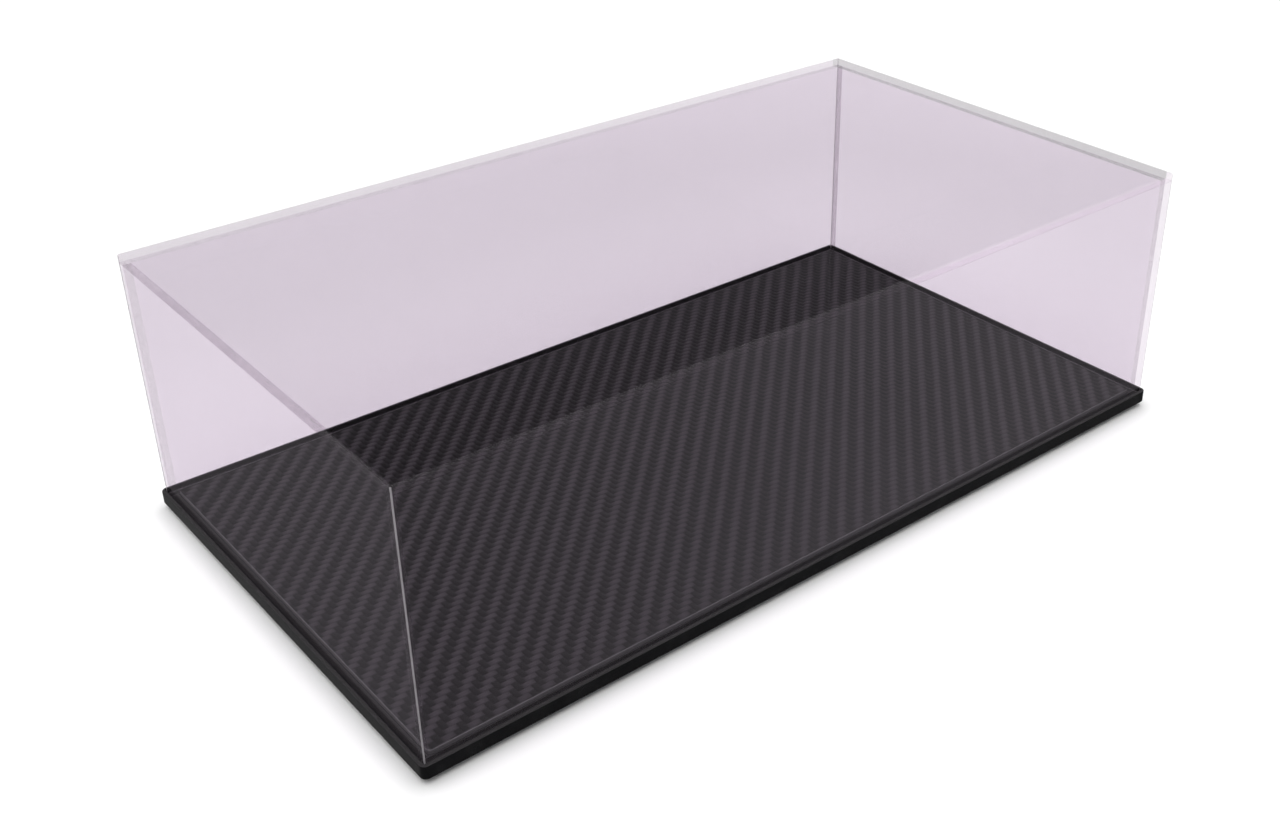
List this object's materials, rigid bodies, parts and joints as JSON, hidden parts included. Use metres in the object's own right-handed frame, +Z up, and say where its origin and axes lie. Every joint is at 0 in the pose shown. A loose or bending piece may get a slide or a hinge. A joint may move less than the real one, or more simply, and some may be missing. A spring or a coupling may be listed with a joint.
{
  "type": "display case",
  "caption": "Low rectangular display case for a scale model: a clear acrylic dust cover that lifts off a thin black base with a carbon-fibre twill deck.",
  "frame": {"origin": "on the surface the feet stand on, under the middle of the case", "axes": "+X along the long side to the right, +Y from the front to the back, +Z up"},
  "size_m": [0.325, 0.18, 0.098],
  "materials": {
    "clear_acrylic": "polished",
    "black_acrylic": "gloss",
    "carbon_laminate": "gloss",
    "adhesive_film": "matte",
    "foot_rubber": "matte"
  },
  "bodies": {
    "base": {"base_plate": "black_acrylic", "lip_front": "black_acrylic", "lip_back": "black_acrylic", "lip_left": "black_acrylic", "lip_right": "black_acrylic", "carbon_deck": "carbon_laminate", "deck_adhesive": "adhesive_film", "foot_front_left": "foot_rubber", "foot_front_right": "foot_rubber", "foot_back_left": "foot_rubber", "foot_back_right": "foot_rubber"},
    "cover": {"top_panel": "clear_acrylic", "front_panel": "clear_acrylic", "back_panel": "clear_acrylic", "left_panel": "clear_acrylic", "right_panel": "clear_acrylic"}
  },
  "joints": [
    {"name": "cover_lift", "type": "slide", "parent": "base", "child": "cover", "axis": [0, 0, 1], "range_m": [0, 0.12]}
  ]
}
